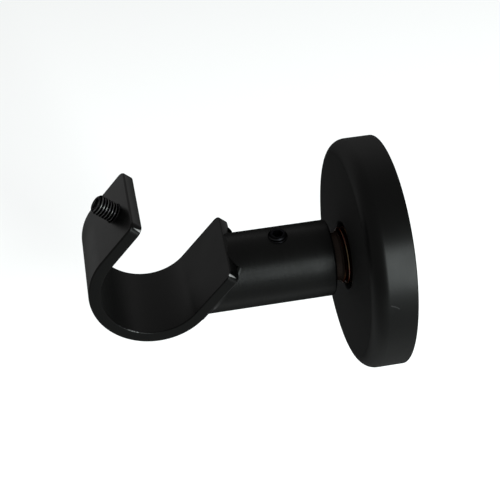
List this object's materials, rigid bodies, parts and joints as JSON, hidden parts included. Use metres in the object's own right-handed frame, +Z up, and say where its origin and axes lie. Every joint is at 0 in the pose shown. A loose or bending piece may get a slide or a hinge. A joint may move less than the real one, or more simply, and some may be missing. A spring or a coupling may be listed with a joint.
{
  "type": "curtain pole bracket",
  "caption": "Black metal curtain pole bracket: an open bent-strip cup with a locking screw, on a round stem that slides on a threaded wall post behind a round pressed rose.",
  "frame": {"origin": "on the stem's axis at the wall plane, the centre of the wall plate's back", "axes": "+Y into the wall along the stem, X along the pole, +Z up"},
  "size_m": [0.0604, 0.0778, 0.0604],
  "materials": {
    "black_coat": "satin black coat over steel",
    "black_oxide_steel": "black oxide with a light oil sheen",
    "yellow_passivated_steel": "zinc plated and yellow passivated, faintly iridescent"
  },
  "bodies": {
    "wall_mount": {"wall_plate": "yellow_passivated_steel", "wall_post": "yellow_passivated_steel", "rose_cover": "black_coat"},
    "arm": {"stem": "black_coat", "pole_cup": "black_coat"},
    "pole_screw": {"pole_screw": "black_oxide_steel"},
    "stem_screw": {"stem_screw": "black_oxide_steel"}
  },
  "joints": [
    {"name": "arm_slide", "type": "slide", "parent": "wall_mount", "child": "arm", "axis": [0, 1, 0], "range_m": [-0.003, 0.0037]},
    {"name": "pole_screw_travel", "type": "slide", "parent": "arm", "child": "pole_screw", "axis": [0, 0.7431, -0.6691], "range_m": [-0.001, 0.0032]},
    {"name": "stem_screw_travel", "type": "slide", "parent": "arm", "child": "stem_screw", "axis": [0.1045, 0, 0.9945], "range_m": [0, 0.0025]}
  ]
}
